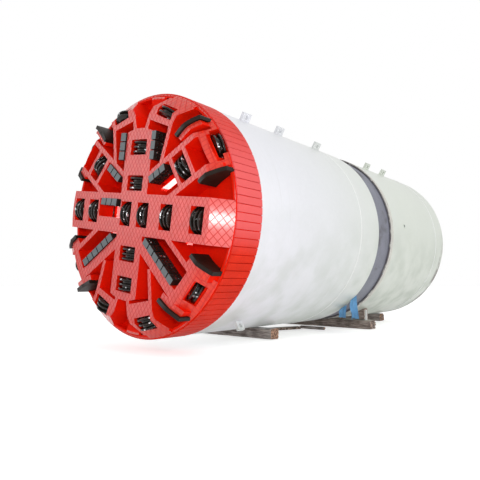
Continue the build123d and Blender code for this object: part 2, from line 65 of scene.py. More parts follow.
# %% Helper: an object in the scene
def place_object(name, data):
    """A new object at the origin."""
    made = bpy.data.objects.new(name, data)
    bpy.context.collection.objects.link(made)
    return made


# %% Place the camera
camera = place_object("camera", bpy.data.cameras.new("camera"))
camera.data.lens = 36.54
camera.data.sensor_width = 36.0
camera.location = (4.5604, FACE_Y - 3.4762, AXIS_Z - 0.7722)
camera.rotation_euler = Vector((-0.64068, 0.76320, 0.08399)).to_track_quat("-Z", "Y").to_euler()
bpy.context.scene.camera = camera
print("camera at", [round(v, 3) for v in camera.location])

# %% [markdown]
# ## Light and floor
# Big steel parts look right in soft, even light. Most of it comes from the pale room itself. One lamp close to
# the viewer reaches into the slots of the head and puts a sheen on every painted face that looks this way, and
# two broad lamps model the round shields. The background is white only to the camera and to mirror-like
# surfaces, so it adds no light of its own. The floor is pale and keeps the soft shadow under the machine.

# %% Light the scene
scene = bpy.context.scene
scene.view_settings.view_transform = "Standard"


def area_light(name, place, target, size, power):
    """A soft rectangular lamp that looks at a point."""
    data = bpy.data.lights.new(name, "AREA")
    data.shape = "RECTANGLE"
    data.size, data.size_y = size
    data.energy = power
    lamp = place_object(name, data)
    lamp.location = place
    lamp.rotation_euler = (Vector(target) - Vector(place)).to_track_quat("-Z", "Y").to_euler()
    print("lamp", name, power, "W")


# name, place, the point that it looks at, size, watts
LAMPS = (
    ("near_viewer", (5.05, -6.75, 1.25), (0.2, -3.0, AXIS_Z), (0.7, 0.5), 118),
    ("sky", (3.5, -1.0, 9.0), (0, 0, AXIS_Z), (8, 12), 190),
    ("left_front", (-5.5, -8.5, 4.0), (0, -3, AXIS_Z), (4, 4), 60),
    ("right_side", (8.5, 2.5, 3.6), (0, 1.0, AXIS_Z), (6, 3), 130),
)
for lamp in LAMPS:
    area_light(*lamp)

# %% Work lamps in the chamber behind the head, which light its white walls
CHAMBER_LAMPS, CHAMBER_WATTS, CHAMBER_R, CHAMBER_BACK = 4, 7, 0.95, 0.76
for k in range(CHAMBER_LAMPS):
    a = math.radians(45 + 360 / CHAMBER_LAMPS * k)
    data = bpy.data.lights.new(f"chamber_{k}", "POINT")
    data.energy = CHAMBER_WATTS
    data.shadow_soft_size = 0.12
    lamp = place_object(f"chamber_{k}", data)
    lamp.location = (CHAMBER_R * math.cos(a), FACE_Y + CHAMBER_BACK, AXIS_Z + CHAMBER_R * math.sin(a))

# %% A pale room: soft light for surfaces, white for the camera
world = bpy.data.worlds.new("studio")
scene.world = world
world.use_nodes = True
wn, wl = world.node_tree.nodes, world.node_tree.links
background = wn["Background"]
background.inputs["Color"].default_value = (1, 1, 1, 1)
rays = wn.new("ShaderNodeLightPath")
seen = wn.new("ShaderNodeMath")
seen.operation = "MAXIMUM"
strength = wn.new("ShaderNodeMapRange")
wl.new(rays.outputs["Is Camera Ray"], seen.inputs[0])
wl.new(rays.outputs["Is Glossy Ray"], seen.inputs[1])
wl.new(seen.outputs[0], strength.inputs["Value"])
ROOM_LIGHT, SEEN_WHITE = 0.52, 1.0
strength.inputs["To Min"].default_value = ROOM_LIGHT
strength.inputs["To Max"].default_value = SEEN_WHITE
wl.new(strength.outputs[0], background.inputs["Strength"])

# %% Lay the floor
floor_mesh = bpy.data.meshes.new("floor")
FAR = 60
floor_mesh.from_pydata([(-FAR, -FAR, 0), (FAR, -FAR, 0), (FAR, FAR, 0), (-FAR, FAR, 0)], [], [(0, 1, 2, 3)])
floor = place_object("floor", floor_mesh)

# %% [markdown]
# ## Small helpers for node trees
# Each finish is a node tree. Writing trees by hand is long, so a few helpers place a node with its settings and
# join it up. A finish then reads like a recipe: where the pattern lies, what it changes, and by how much.

# %% Node helpers
FLOAT, VECTOR, COLOUR, MATERIAL = (f"NodeSocket{kind}" for kind in ("Float", "Vector", "Color", "Material"))


def add(tree, kind, links=(), **values):
    """One node: links are (socket, other socket) pairs, values are settings or input values."""
    n = tree.nodes.new(kind)
    for key, value in values.items():
        if hasattr(n, key):
            setattr(n, key, value)
        else:
            n.inputs[key.replace("_", " ")].default_value = value
    for socket, source in links:
        tree.links.new(source, n.inputs[socket])
    return n


def number(tree, operation, a, b=0.0):
    """Arithmetic on sockets or plain numbers."""
    n = add(tree, "ShaderNodeMath", operation=operation)
    for socket, value in zip(n.inputs, (a, b)):
        if isinstance(value, bpy.types.NodeSocket):
            tree.links.new(value, socket)
        else:
            socket.default_value = value
    return n.outputs[0]


def product(tree, *factors):
    """Several sockets or plain numbers multiplied."""
    result = factors[0]
    for factor in factors[1:]:
        result = number(tree, "MULTIPLY", result, factor)
    return result


def axes(tree, vector):
    """The X, Y and Z of a vector."""
    return add(tree, "ShaderNodeSeparateXYZ", [(0, vector)]).outputs


def from_axis(tree, xyz):
    """Distance from the Y axis."""
    return number(tree, "SQRT", number(tree, "ADD", product(tree, xyz[0], xyz[0]), product(tree, xyz[2], xyz[2])))


def step(tree, source, low, high, to_low=0.0, to_high=1.0):
    """A soft step between two values of a number."""
    n = add(tree, "ShaderNodeMapRange", [("Value", source)], interpolation_type="SMOOTHSTEP")
    for socket, value in (("From Min", low), ("From Max", high), ("To Min", to_low), ("To Max", to_high)):
        n.inputs[socket].default_value = value
    return n.outputs[0]


def cloudy(tree, where, scale, detail):
    """A number that changes in soft clouds."""
    return add(tree, "ShaderNodeTexNoise", [("Vector", where)], Scale=scale, Detail=detail).outputs[0]


def blend(tree, factor, a, b, mode="MIX"):
    """Mixes two colours; each may be a socket or a plain colour."""
    n = add(tree, "ShaderNodeMix", data_type="RGBA", blend_type=mode)
    for socket, value in ((n.inputs[0], factor), (n.inputs[6], a), (n.inputs[7], b)):
        if isinstance(value, bpy.types.NodeSocket):
            tree.links.new(value, socket)
        else:
            socket.default_value = value if isinstance(value, float) else (*value, 1)
    return n.outputs[2]


# %% Material helpers
def finish(name, **values):
    """A new material with one Principled shader; values set its own sockets."""
    m = bpy.data.materials.new(name)
    m.use_nodes = True
    shader = m.node_tree.nodes["Principled BSDF"]
    for key, value in values.items():
        shader.inputs[key.replace("_", " ")].default_value = value
    place = add(m.node_tree, "ShaderNodeTexCoord")
    print("finish", name)
    return m, m.node_tree, shader, place.outputs["Object"], place.outputs["Normal"]


def base(tree, shader, colour):
    """Joins a colour to the shader."""
    tree.links.new(colour, shader.inputs["Base Color"])


def rough_surface(tree, shader, height, strength, distance):
    """Joins a height to the shader's normal."""
    bump = add(tree, "ShaderNodeBump", [("Height", height)], Strength=strength, Distance=distance)
    tree.links.new(bump.outputs[0], shader.inputs["Normal"])


def dress(finish_made, *names):
    """Gives CAD parts a finish."""
    for name in names:
        for s in nodes[name].material_slots:
            s.material = finish_made


# %% [markdown]
# ## Shared effects
# Some effects come back on many parts, so each is a node group with named inputs: the fine unevenness of brushed
# paint, darker patches low down, long runs of dirt, and the diamond net that armours the face of the head.

# %% Group helpers
def new_group(name, inputs, outputs):
    """A shader node group with its sockets."""
    g = bpy.data.node_groups.new(name, "ShaderNodeTree")
    for label, kind, value in inputs:
        s = g.interface.new_socket(label, in_out="INPUT", socket_type=kind)
        if value is not None:
            s.default_value = value
    for label, kind in outputs:
        g.interface.new_socket(label, in_out="OUTPUT", socket_type=kind)
    return g, g.nodes.new("NodeGroupInput").outputs, g.nodes.new("NodeGroupOutput")


def place_group(tree, group, links=(), **values):
    """Puts a group in a material, joined up and with its own values."""
    n = tree.nodes.new("ShaderNodeGroup")
    n.node_tree = group
    for socket, source in links:
        tree.links.new(source, n.inputs[socket])
    for key, value in values.items():
        n.inputs[key.replace("_", " ")].default_value = value
    return n


# %% Group: unevenness of brushed paint
brushed_paint, gin, gout = new_group(
    "brushed paint",
    [("Vector", VECTOR, None), ("Scale", FLOAT, 6.0),
     ("Colour", COLOUR, (1, 0, 0, 1)), ("Variation", FLOAT, 0.12)],
    [("Colour", COLOUR), ("Height", FLOAT)],
)
g = brushed_paint
clouds = add(g, "ShaderNodeTexNoise", [("Vector", gin[0]), ("Scale", gin[1])], Detail=5.0)
fine_scale = product(g, gin[1], 14.0)
brushed = add(g, "ShaderNodeTexNoise", [("Vector", gin[0]), ("Scale", fine_scale)], Detail=2.0)
both_tones = number(g, "ADD", product(g, clouds.outputs[0], 1.4), brushed.outputs[0])
tone = product(g, number(g, "SUBTRACT", both_tones, 1.2), gin[3])
toned = add(g, "ShaderNodeVectorMath", [(0, gin[2])], operation="SCALE")
g.links.new(number(g, "ADD", tone, 1.0), toned.inputs["Scale"])
g.links.new(toned.outputs[0], gout.inputs["Colour"])
g.links.new(brushed.outputs[0], gout.inputs["Height"])


# %% Coats of brushed paint
def coat_of(tree, where, colour, scale, variation):
    """One uneven colour: output 0 is the colour, Height its brush marks."""
    return place_group(tree, brushed_paint, [("Vector", where)], Scale=scale, Colour=(*colour, 1),
                       Variation=variation)


def painted(name, colour, scale, variation, bump=None, **values):
    """A finish that is one coat of brushed paint; bump is a strength and a distance."""
    material, t, shader, where, normal = finish(name, **values)
    coat = coat_of(t, where, colour, scale, variation)
    base(t, shader, coat.outputs[0])
    if bump:
        rough_surface(t, shader, coat.outputs["Height"], *bump)
    return material


# %% Group: darker patches low down
low_patches_group, gin, gout = new_group(
    "low_patches",
    [("Vector", VECTOR, None), ("From Height", FLOAT, 0.2),
     ("To Height", FLOAT, 1.2), ("Amount", FLOAT, 0.5)],
    [("Mask", FLOAT)],
)
g = low_patches_group
height = axes(g, gin[0])[2]
low_down = add(g, "ShaderNodeMapRange", [("Value", height), ("From Min", gin[1]),
               ("From Max", gin[2])], To_Min=1.0, To_Max=0.0)
patches = cloudy(g, gin[0], 2.3, 6.0)
mask = product(g, low_down.outputs[0], step(g, patches, 0.35, 0.7), gin[3])
g.links.new(mask, gout.inputs["Mask"])

# %% Group: runs of dirt around a round body
runs_group, gin, gout = new_group(
    "runs",
    [("Vector", VECTOR, None), ("Spacing", FLOAT, 9.0), ("Amount", FLOAT, 0.3)],
    [("Mask", FLOAT)],
)
g = runs_group
along = add(g, "ShaderNodeVectorMath", [(0, gin[0])], operation="MULTIPLY")
along.inputs[1].default_value = (0.05, 3.0, 0.05)
streaks = add(g, "ShaderNodeTexNoise", [("Vector", along.outputs[0]), ("Scale", gin[1])], Detail=4.0)
where = cloudy(g, gin[0], 0.9, 2.0)
mask = product(g, step(g, streaks.outputs[0], 0.55, 0.75), step(g, where, 0.42, 0.62), gin[2])
g.links.new(mask, gout.inputs["Mask"])

# %% Group: diamond net
net_group, gin, gout = new_group(
    "diamond net",
    [("Vector", VECTOR, None), ("Cell Width", FLOAT, 0.06),
     ("Cell Height", FLOAT, 0.09), ("Line", FLOAT, 0.13)],
    [("Mask", FLOAT)],
)
g = net_group
parts = axes(g, gin[0])
u = number(g, "DIVIDE", parts[0], gin[1])
v = number(g, "DIVIDE", parts[2], gin[2])
distances = []
for way in ("ADD", "SUBTRACT"):
    across = number(g, "FRACT", number(g, way, u, v))
    distances.append(number(g, "ABSOLUTE", number(g, "SUBTRACT", across, 0.5)))
edge = number(g, "SUBTRACT", 0.5, number(g, "MAXIMUM", *distances))
line = add(g, "ShaderNodeMapRange", [("Value", edge), ("From Max", gin[3])], To_Min=1.0, To_Max=0.0,
           interpolation_type="SMOOTHSTEP")
g.links.new(line.outputs[0], gout.inputs["Mask"])


def head_plane(tree, vector):
    """Object coordinates turned so that the head's long arm lies along X and its face at Y = 0."""
    turn = Matrix.Rotation(HEAD_TURN, 3, "Y")
    place = -(turn @ Vector((0, FACE_Y, AXIS_Z)))
    return add(tree, "ShaderNodeMapping", [("Vector", vector)], Rotation=(0, HEAD_TURN, 0), Location=place).outputs[0]


def facing_front(tree, normal):
    """How much a surface looks forward, from -1 to 1."""
    return product(tree, axes(tree, normal)[1], -1.0)


# %% [markdown]
# ## Red paint of the head
# The head is sprayed one red. Its front faces are armoured with a net of weld beads and shine pale, towards the
# rim the coat is rubbed to orange, and the pockets between the arms stay deep and clean. One finish can do all
# of it: the surface's own direction says which kind of face this is, and its depth behind the face at that
# radius tells a front from a floor.

# %% Red paint
CELL_W, CELL_H = 0.060, 0.094
FLAT_R, RIM_R, CHAMFER_D = 1.25, 1.435, 0.185
PALE_RED = (0.78, 0.105, 0.095)
LINE_RED = (0.60, 0.026, 0.022)
RUBBED_RED = (0.74, 0.032, 0.010)
POCKET_RED = (0.86, 0.013, 0.002)


def chamfer_fall(tree, radius):
    """How far the head's front lies behind its flat face at a radius."""
    past = number(tree, "MAXIMUM", number(tree, "SUBTRACT", radius, FLAT_R), 0.0)
    return product(tree, past, CHAMFER_D / (RIM_R - FLAT_R))


# %% The finish itself
red, t, shader, where, normal = finish("head_red", Roughness=0.5, Specular_IOR_Level=0.05, Coat_Roughness=0.22)
turned = head_plane(t, where)
facing = facing_front(t, normal)
xyz = axes(t, turned)
radius = from_axis(t, xyz)
behind = number(t, "SUBTRACT", xyz[1], chamfer_fall(t, radius))
front = product(t, step(t, facing, 0.40, 0.60), step(t, behind, 0.010, 0.020, 1.0, 0.0))
off_arm = step(t, number(t, "ABSOLUTE", xyz[2]), 0.28, 0.36)
outer = product(t, step(t, radius, 1.10, 1.36), off_arm)
net = place_group(t, net_group, [("Vector", turned)], Cell_Width=CELL_W, Cell_Height=CELL_H)
pale = coat_of(t, turned, PALE_RED, 10.0, 0.34)
rubbed = coat_of(t, turned, RUBBED_RED, 11.0, 0.45)
deep = coat_of(t, turned, POCKET_RED, 3.0, 0.25)
coat = blend(t, outer, pale.outputs[0], rubbed.outputs[0])
with_net = blend(t, product(t, net.outputs[0], 0.95), coat, LINE_RED)
colour = blend(t, front, deep.outputs[0], with_net)
base(t, shader, colour)
t.links.new(product(t, step(t, net.outputs[0], 0.0, 1.0, 1.0, 0.1), front), shader.inputs["Coat Weight"])
rough_surface(t, shader, pale.outputs["Height"], 0.25, 0.004)
dress(red, "face_plate", "arm_ribs", "arm_frame", "scoop_plates", "back_plate", "head_hub", "head_rim")

# %% Red of the weld beads: thicker and deeper in colour than the sprayed plate
bead_red = painted("bead_red", (0.66, 0.060, 0.050), 12.0, 0.4, (0.3, 0.002), Roughness=0.5, Specular_IOR_Level=0.25)

# %% Red of the wear bars
bar_red, t, shader, where, normal = finish("bar_red", Roughness=0.5, Specular_IOR_Level=0.06)
BAR_RED, SHEEN_PINK = (0.70, 0.028, 0.010), (0.82, 0.125, 0.125)
scraped = coat_of(t, where, BAR_RED, 5.0, 0.35)
high = axes(t, where)[2]
# Painted reflection: bars between these heights turn pale pink, as if they mirrored a lamp.
painted_sheen = product(t, step(t, high, 1.05, 1.45), step(t, high, 2.0, 2.6, 1.0, 0.3))
base(t, shader, blend(t, painted_sheen, scraped.outputs[0], SHEEN_PINK))
rough_surface(t, shader, scraped.outputs["Height"], 0.35, 0.003)
dress(bar_red, "wear_bars")

# %% [markdown]
# ## Black and grey steel
# Cutter rings and wear lips are dipped in black and oiled, and are nearly black. Sparse light grey metallic spots on
# the cutters are painted glints. A Bevel node rounds their sharp edges for the light only, so that an edge catches a
# lamp as a worn one does. The scraper teeth are ground on their front faces and stay black on their flanks, which a
# look at the surface's direction tells apart.

# %% Black coated steel
black, t, shader, where, normal = finish("cutter_black", Roughness=0.2, Specular_IOR_Level=0.1, Coat_Weight=0.45,
                                         Coat_Roughness=0.06)
oily = cloudy(t, where, 14.0, 4.0)
dark = blend(t, oily, (0.005, 0.003, 0.002), (0.018, 0.011, 0.008))
# Painted glints: sparse spots of light grey metal on the black stand in for highlights from a lamp.
glint_noise = cloudy(t, where, 17.0, 1.0)
painted_glints = step(t, glint_noise, 0.645, 0.70)
base(t, shader, blend(t, painted_glints, dark, (0.62, 0.62, 0.64)))
t.links.new(painted_glints, shader.inputs["Metallic"])
t.links.new(step(t, oily, 0.3, 0.7, 0.14, 0.30), shader.inputs["Roughness"])
rounded = add(t, "ShaderNodeBevel", Radius=0.014)
bump = add(t, "ShaderNodeBump", [("Height", oily), ("Normal", rounded.outputs[0])],
           Strength=0.3, Distance=0.003)
t.links.new(bump.outputs[0], shader.inputs["Normal"])
t.links.new(rounded.outputs[0], shader.inputs["Coat Normal"])
dress(black, *[n for n in nodes if n.startswith("disc_cutter_")], "cutter_shafts")

# %% Black lips with worn grey fronts
lip, t, shader, where, normal = finish("lip_black", Roughness=0.5, Specular_IOR_Level=0.16)
worn = cloudy(t, where, 9.0, 5.0)
near_axis = step(t, from_axis(t, axes(t, head_plane(t, where))), 1.17, 1.25, 1.0, 0.0)
bare = product(t, step(t, facing_front(t, normal), 0.75, 0.93), near_axis)
body = blend(t, worn, (0.004, 0.003, 0.002), (0.024, 0.014, 0.010))
base(t, shader, blend(t, bare, body, (0.045, 0.043, 0.042)))
rough_surface(t, shader, worn, 0.6, 0.008)
dress(lip, "bucket_lips")

# %% Tool steel of the teeth
tooth, t, shader, where, normal = finish("tooth_steel", Roughness=0.5, Metallic=0.2)
grain = coat_of(t, where, (0.125, 0.145, 0.155), 8.0, 0.35)
ground = step(t, facing_front(t, normal), 0.6, 0.8)
base(t, shader, blend(t, ground, (0.012, 0.010, 0.008), grain.outputs[0]))
rough_surface(t, shader, grain.outputs["Height"], 0.3, 0.002)
dress(tooth, "scraper_teeth")

# %% [markdown]
# ## Shield paint
# The shields are rolled plate with a thick off-white coat. It is smooth enough to mirror the sky softly, turns
# from bluish near the head to a greenish grey at the tail and towards the ground, and carries faint runs of
# dirt. The finish reads its place along the machine to make that change.

# %% Off-white paint
white, t, shader, where, normal = finish("shield_white", Roughness=0.33)
xyz = axes(t, where)
backwards = step(t, xyz[1], -2.6, 1.6)
tint = blend(t, backwards, (0.800, 0.805, 0.850), (0.690, 0.730, 0.660))
coat = place_group(t, brushed_paint, [("Vector", where), ("Colour", tint)], Scale=1.3, Variation=0.05)
# Greenish grey patches darken the coat towards the ground, more at the tail.
more_at_tail = step(t, xyz[1], -1.0, 1.2, 0.55, 1.0)
low_patches = place_group(t, low_patches_group, [("Vector", where), ("Amount", more_at_tail)], From_Height=0.15, To_Height=1.8)
runs = place_group(t, runs_group, [("Vector", where)], Amount=0.10)
marked_coat = blend(t, low_patches.outputs[0], coat.outputs[0], (0.40, 0.46, 0.37))
marked_coat = blend(t, runs.outputs[0], marked_coat, (0.42, 0.42, 0.36))
rust = cloudy(t, where, 5.0, 6.0)
at_end = product(t, step(t, xyz[1], 3.10, 3.24), step(t, xyz[2], 1.0, 1.9, 1.0, 0.0))
rusty = product(t, at_end, step(t, rust, 0.38, 0.58))
marked_coat = blend(t, rusty, marked_coat, (0.10, 0.075, 0.055))
base(t, shader, marked_coat)
rough_surface(t, shader, coat.outputs["Height"], 0.08, 0.002)
dress(white, "front_shield", "tail_shield", "front_lugs", "tail_lugs")

# %% Rubbed edge of the tail's collar: beige grey with fine lines left by the turning tool
collar, t, shader, where, normal = finish("collar_beige", Roughness=0.45)
rings = add(t, "ShaderNodeTexWave", [("Vector", where)], Scale=9.0, Distortion=1.2, Detail=2.0,
            bands_direction="Y", wave_type="BANDS")
coat = coat_of(t, where, (0.72, 0.71, 0.65), 5.0, 0.2)
lined = blend(t, step(t, rings.outputs[0], 0.82, 0.97), coat.outputs[0], (0.24, 0.22, 0.22))
base(t, shader, lined)
rough_surface(t, shader, coat.outputs["Height"], 0.2, 0.002)
dress(collar, "tail_collar")

# %% Grey primer of the steering joint, with darker blotches
grey, t, shader, where, normal = finish("joint_grey", Roughness=0.5)
coat = coat_of(t, where, (0.185, 0.19, 0.235), 3.0, 0.5)
blotch = cloudy(t, where, 2.1, 6.0)
blotched = blend(t, step(t, blotch, 0.50, 0.66), coat.outputs[0], (0.075, 0.07, 0.085))
base(t, shader, blotched)
rough_surface(t, shader, coat.outputs["Height"], 0.3, 0.003)
dress(grey, "steering_ring", "main_drive", "power_unit")

# %% White inside the working chamber
chamber = painted("chamber_white", (0.86, 0.87, 0.86), 2.0, 0.08, (0.1, 0.002), Roughness=0.4)
dress(chamber, "crusher_cone", "bulkhead", "rear_wall", "thrust_ring")

# %% Rubber seals and painted pipes
rubber = painted("seal_rubber", (0.022, 0.022, 0.022), 9.0, 0.6, Roughness=0.6)
dress(rubber, "steering_seals")
dress(painted("pipe_grey", (0.12, 0.15, 0.19), 6.0, 0.3, Roughness=0.45), "slurry_pipes")

# %% [markdown]
# ## Old timber
# The machine lies on old squared beams: grey brown on the sides, reddish on the sawn ends, with long cracks and
# worn edges. Their tops are paler, partly from sun bleaching and partly as painted light from above. A wood
# finish is a noise stretched along the beam. The beams themselves are worth real geometry, because their outline
# is ragged: a fine grid is worn down at its edges and split by cracks, always inwards, so a beam never grows out
# of the space that the CAD model gives it.

# %% Wood finish
def wood_finish(name, dark, light, end):
    """Weathered wood whose fibres run along X."""
    wood, t, shader, where, normal = finish(name, Roughness=0.85)
    stretched = add(t, "ShaderNodeMapping", [("Vector", where)], Scale=(1.2, 14.0, 14.0))
    fibres = add(t, "ShaderNodeTexNoise", [("Vector", stretched.outputs[0])], Scale=4.0, Detail=8.0, Roughness=0.65)
    patches = cloudy(t, where, 6.0, 4.0)
    side = blend(t, step(t, fibres.outputs[0], 0.34, 0.64), dark, light)
    side = blend(t, step(t, patches, 0.45, 0.7, 0.0, 0.55), side, tuple(0.45 * c for c in dark))
    way = axes(t, normal)
    # Faces that look up are paler: partly sun bleaching, partly a painted highlight from the light above.
    lit_top_colour = tuple(min(0.75, 1.5 * c + 0.12) for c in light)
    bleached_and_lit = blend(t, step(t, way[2], 0.55, 0.9, 0.0, 0.65), side, lit_top_colour)
    rings = cloudy(t, where, 34.0, 7.0)
    hollow, proud = (tuple(k * c for c in end) for k in (0.30, 1.15))
    sawn = blend(t, step(t, rings, 0.40, 0.58), hollow, proud)
    across = step(t, number(t, "ABSOLUTE", way[0]), 0.6, 0.85)
    base(t, shader, blend(t, across, bleached_and_lit, sawn))
    rough_surface(t, shader, fibres.outputs[0], 0.8, 0.010)
    return wood


old_wood = wood_finish("old_timber", (0.185, 0.150, 0.138), (0.60, 0.52, 0.49), (0.50, 0.29, 0.20))
rotten_wood = wood_finish("rotten_timber", (0.145, 0.108, 0.095), (0.50, 0.41, 0.365), (0.44, 0.33, 0.27))
pale_wood = wood_finish("pale_plank", (0.26, 0.20, 0.165), (0.52, 0.44, 0.38), (0.40, 0.25, 0.17))

# %% From a bmesh to an object
def new_piece(name, bm, material):
    """An object at the origin that holds a finished bmesh."""
    mesh = bpy.data.meshes.new(name)
    bm.to_mesh(mesh)
    bm.free()
    mesh.materials.append(material)
    piece = place_object(name, mesh)
    print(name, len(mesh.polygons), "faces")
    return piece


def skin(bm, grid):
    """Faces over a grid of points."""
    return [bm.faces.new((grid[i][j], grid[i + 1][j], grid[i + 1][j + 1], grid[i][j + 1]))
            for i in range(len(grid) - 1) for j in range(len(grid[0]) - 1)]


# %% A worn beam
GRID = (0.022, 0.016, 0.016)
CRACK_LINES, CRACK_HALF = (0.28, 0.61, 0.83), 0.010
CORNER, SPLINTER = 0.035, 0.05


def worn_beam(name, low, high, wood, seed, ragged=0.03, wear=0.010, crack=0.016):
    """A beam along X between two corners: a fine grid, worn edges, long cracks and ragged ends, all inwards."""
    low, high = Vector(low), Vector(high)
    size = high - low
    cuts = [max(2, round(size[i] / pitch)) for i, pitch in enumerate(GRID)]
    bm = bmesh.new()
    for axis in range(3):
        a, b = [i for i in range(3) if i != axis]
        for end in (0, 1):
            grid = [[None] * (cuts[b] + 1) for _ in range(cuts[a] + 1)]
            for i in range(cuts[a] + 1):
                for j in range(cuts[b] + 1):
                    p = Vector((0, 0, 0))
                    p[axis] = high[axis] if end else low[axis]
                    p[a] = low[a] + size[a] * i / cuts[a]
                    p[b] = low[b] + size[b] * j / cuts[b]
                    grid[i][j] = bm.verts.new(p)
            skin(bm, grid)
    bmesh.ops.remove_doubles(bm, verts=bm.verts, dist=1e-5)
    centre = (low + high) / 2
    for vert in bm.verts:
        p = vert.co
        key = Vector((p.x * 1.5, p.y * 5, p.z * 5)) + Vector((seed, 0, 0))
        gaps = [min(p[i] - low[i], high[i] - p[i]) for i in range(3)]
        corner = max(0.0, 1 - (gaps[1] + gaps[2]) / CORNER)
        into = Vector((0, centre.y - p.y, centre.z - p.z)).normalized()
        depth = wear * (0.2 + 0.8 * (noise.noise(key * 2) * 0.5 + 0.5))
        depth += corner * (0.010 + 0.012 * abs(noise.noise(key * 3)))
        for k, line in enumerate(CRACK_LINES):
            along_y = low.y + size.y * line + 0.006 * noise.noise(Vector((p.x * 3, k, seed)))
            along_z = low.z + size.z * line + 0.006 * noise.noise(Vector((p.x * 3, k + 7, seed)))
            opened = max(0.0, noise.noise(Vector((p.x * 1.1, k * 3, seed))) + 0.12)
            close = min(abs(p.y - along_y) if gaps[2] < 1e-4 else 1, abs(p.z - along_z) if gaps[1] < 1e-4 else 1)
            if close < CRACK_HALF:
                depth += crack * min(1.0, 3 * opened) * (1 - close / CRACK_HALF)
        p += into * depth
        if gaps[0] < SPLINTER:
            coarse, fine = (abs(noise.noise(Vector((seed, p.y * k, p.z * k)))) for k in (38, 90))
            torn = ragged * (coarse + 0.4 * fine) * (1 - gaps[0] / SPLINTER)
            p.x += math.copysign(torn, centre.x - p.x)
    bmesh.ops.recalc_face_normals(bm, faces=bm.faces)
    return new_piece(name, bm, wood)


# %% Beam under the front shield
low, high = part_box("timber_front")
front_beam = worn_beam("front_beam", low, high, old_wood, 3.1, ragged=0.012)
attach(front_beam, "front")
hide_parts("timber_front")

# %% Beams under the tail
low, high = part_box("tail_timbers")
MID_W, REAR_W, REAR_X = 0.24, 0.22, 0.25
middle_beam = worn_beam("middle_beam", low, (high[0], low[1] + MID_W, high[2]), rotten_wood, 8.4,
                        ragged=0.045, wear=0.014)
rear_beam = worn_beam("rear_beam", (low[0], high[1] - REAR_W, low[2]), (REAR_X, high[1], high[2]), old_wood, 5.7)
for beam in (middle_beam, rear_beam):
    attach(beam, "tail")
    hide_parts("tail_timbers")

# %% [markdown]
# ## Chocks, wedge and loose wood
# A block of wood on each side keeps the round shield from rolling. Its upper side is hollowed to the shield, so
# the beam function makes the block and its points are then pressed down to the shield's curve. A pale wedge is
# driven between the middle beam and the shield in the same way. A thin stick and a dark, ragged board lie on the
# ground, and a white peg stands beside the right chock.

# %% Chocks
UNDER = 0.003  # wood stays this far below the shield


def press_under_shield(piece):
    """Lowers the points of a piece that would stand in the shield."""
    for vert in piece.data.vertices:
        roof = AXIS_Z - math.sqrt(SHIELD_R ** 2 - min(abs(vert.co.x), 1.4) ** 2) - UNDER
        vert.co.z = min(vert.co.z, roof)


low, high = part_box("chocks")
CHOCK_X = 0.56
for side, hand, seed in ((-1, "left", 10.0), (1, "right", 12.0)):
    x0, x1 = sorted((side * CHOCK_X, side * high[0]))
    block = worn_beam(f"chock_{hand}", (x0, low[1], low[2]), (x1, high[1], high[2]), rotten_wood, seed,
                      ragged=0.006, wear=0.004, crack=0.008)
    press_under_shield(block)
    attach(block, "tail")
    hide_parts("chocks")

# %% Pale wedge between the middle beam and the shield
beam_low, beam_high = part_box("tail_timbers")
WEDGE_X, WEDGE_W, WEDGE_T, SUNK = (-0.15, 0.32), 0.12, 0.045, 0.006
plank = worn_beam("loose_plank", (WEDGE_X[0], beam_low[1] + 0.002, beam_high[2] - SUNK),
                  (WEDGE_X[1], beam_low[1] + WEDGE_W, beam_high[2] + WEDGE_T), pale_wood, 21.0,
                  ragged=0.02, wear=0.002, crack=0.003)
press_under_shield(plank)
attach(plank, "tail")

# %% Loose pieces on the ground: a thin stick and a dark, ragged board
stick = worn_beam("thin_stick", (-0.17, 0.53, 0.0), (0.32, 0.59, 0.062), old_wood, 31.0,
                  ragged=0.02, wear=0.003, crack=0.003)
BOARD_START, BOARD_END = Vector((-0.438, -0.62, 0)), Vector((-0.067, 0.45, 0))
BOARD_W, BOARD_T = 0.16, 0.055
along = BOARD_END - BOARD_START
board = worn_beam("ragged_board", (0, 0, 0), (along.length, BOARD_W, BOARD_T), rotten_wood, 41.0,
                  ragged=0.05, wear=0.012, crack=0.02)
board.data.transform(Matrix.Translation(BOARD_START) @ Matrix.Rotation(math.atan2(along.y, along.x), 4, "Z"))
for piece in (stick, board):
    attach(piece, "front")

# %% A white peg beside the right chock
pale_paint = painted("peg_white", (0.80, 0.80, 0.78), 20.0, 0.2, Roughness=0.6)
PEG_X, PEG_Y, PEG_Z = (0.765, 0.797), (beam_low[1] + 0.02, beam_low[1] + 0.052), (beam_high[2] - 0.012, 0.345)
peg = worn_beam("white_peg", *zip(PEG_X, PEG_Y, PEG_Z), pale_paint, 51.0, ragged=0.0, wear=0.001, crack=0.0)
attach(peg, "tail")

# %% [markdown]
# ## Blue rags
# Two scraps of light blue cloth are caught in the rear edge of the front shield, before the joint, and hang in a
# few folds. Cloth this small can be laid out as a grid whose rows fall from the shield's edge: each row is wider
# and more folded than the one above. A thin Solidify gives it two sides.

# %% Blue cloth
blue, t, shader, where, normal = finish("blue_cloth", Roughness=0.9, Specular_IOR_Level=0.2, Sheen_Weight=0.2)
tone = coat_of(t, where, (0.150, 0.360, 0.620), 9.0, 0.6)
soiled = cloudy(t, where, 16.0, 4.0)
low_end = step(t, axes(t, where)[2], 0.24, 0.40, 0.5, 0.0)
cloth_colour = blend(t, product(t, low_end, soiled), tone.outputs[0], (0.05, 0.09, 0.16))
base(t, shader, cloth_colour)
weave = add(t, "ShaderNodeTexWave", [("Vector", where)], Scale=110.0, Distortion=0.6, bands_direction="Z")
rough_surface(t, shader, weave.outputs[0], 0.35, 0.001)


# %% A rag caught at its top edge
CLOTH_T = 0.0016


